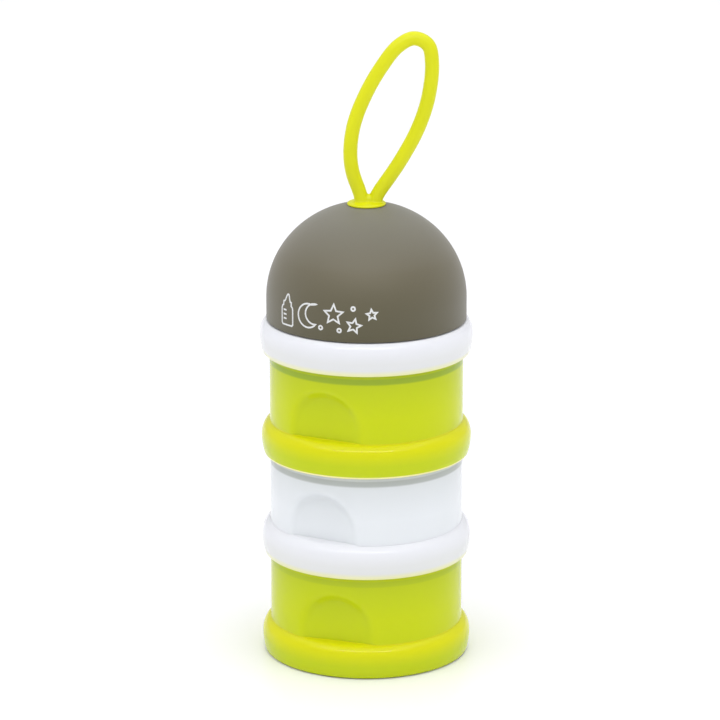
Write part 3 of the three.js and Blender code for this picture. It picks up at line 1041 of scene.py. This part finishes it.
def stage_floor():
    size = FLOOR_HALF_SIDE
    corners = [(-size, -size, 0), (size, -size, 0), (size, size, 0), (-size, size, 0)]
    mesh = bpy.data.meshes.new("floor")
    mesh.from_pydata(corners, [], [(0, 1, 2, 3)])
    floor = bpy.data.objects.new("floor", mesh)
    bpy.context.scene.collection.objects.link(floor)
    n = Nodes("floor")
    shader = n.add("BsdfPrincipled", {
        "Base Color": FLOOR_COLOUR,
        "Roughness": 0.3,
        "IOR": 1.45,
    })
    mesh.materials.append(n.finish(shader))


def softbox(name, azimuth, elevation, size, radiance, glints_only):
    """A rectangular light that faces the middle of the stack. One for glints only adds nothing
    to matt surfaces."""
    turn, lift = math.radians(azimuth), math.radians(elevation)
    direction = Vector((
        math.sin(turn) * math.cos(lift),
        -math.cos(turn) * math.cos(lift),
        math.sin(lift),
    ))
    data = bpy.data.lights.new(name, "AREA")
    data.shape = "RECTANGLE"
    data.size, data.size_y = size
    data.energy = math.pi * size[0] * size[1] * radiance
    light = bpy.data.objects.new(name, data)
    bpy.context.scene.collection.objects.link(light)
    light.location = Vector(SOFTBOX_TARGET) + direction * SOFTBOX_DISTANCE
    light.rotation_euler = (-direction).to_track_quat("-Z", "Y").to_euler()
    light.visible_diffuse = not glints_only


def make_world():
    """A bright ceiling over an even room that is dimmer behind the stack. The background itself
    is seen as plain white."""
    world = bpy.data.worlds.new("studio")
    bpy.context.scene.world = world
    world.use_nodes = True
    nodes, links = world.node_tree.nodes, world.node_tree.links

    def node(kind, inputs, **settings):
        made = nodes.new("ShaderNode" + kind)
        for key, value in settings.items():
            setattr(made, key, value)
        for key, value in inputs.items():
            if isinstance(value, bpy.types.NodeSocket):
                links.new(value, made.inputs[key])
            else:
                made.inputs[key].default_value = value
        return made

    def ramp(value, start, end, low, high):
        inputs = {"Value": value, "From Min": start, "From Max": end, "To Min": low, "To Max": high}
        return node("MapRange", inputs).outputs["Result"]

    direction = nodes.new("ShaderNodeTexCoord").outputs["Generated"]
    level = node("VectorMath", {0: direction, 1: (1, 1, 0)}, operation="MULTIPLY").outputs[0]
    heading = node("VectorMath", {0: level}, operation="NORMALIZE").outputs[0]
    behind = node("SeparateXYZ", {0: heading}).outputs["Y"]
    height = node("SeparateXYZ", {0: direction}).outputs["Z"]
    around = ramp(behind, *SWEEP_EDGE, ROOM_LIGHT, SWEEP_LIGHT)
    upward = ramp(height, *CEILING_EDGE, 0.0, 1.0)
    light = node("Mix", {0: upward, 2: around, 3: CEILING_LIGHT}, data_type="FLOAT").outputs[0]
    seen = nodes.new("ShaderNodeLightPath").outputs["Is Camera Ray"]
    strength = node("Mix", {0: seen, 2: light, 3: 1.0}, data_type="FLOAT").outputs[0]
    background = nodes["Background"]
    background.inputs["Color"].default_value = (1, 1, 1, 1)
    links.new(strength, background.inputs["Strength"])


stage_floor()
make_world()
for box in SOFTBOXES:
    softbox(*box)
bpy.context.scene.view_settings.view_transform = "Standard"

lime = moulded_plastic("lime_pp", **LIME_TONES)
white = moulded_plastic("white_pp", **WHITE_TONES)
grey = satin_dome()
ink = printed_ink()
lime_silicone = soft_silicone(
    "lime_silicone", (0.70, 0.71, 0.001), (0.66, 0.68, 0.001), (1, 1, 0.2))
clear_silicone = soft_silicone(
    "clear_silicone", (0.72, 0.73, 0.72), (0.70, 0.71, 0.70), (1, 1, 1))

for place, material, slot in (
    ("bottom", lime, "lime_plastic"),
    ("middle", white, "white_plastic"),
    ("top", lime, "lime_plastic"),
):
    give(container(place), material)
for place, body, height in (
    ("bottom", "container_bottom", 0),
    ("middle", "seal_middle", PITCH),
    ("top", "seal_top", 2 * PITCH),
    ("lid", "seal_lid", LID_Z),
):
    give(seal(place, body, height), clear_silicone)
give(pour_lid(), white)
give(dome_cap(), grey)
give(dome_print(), ink)
give(carry_loop(), lime_silicone)
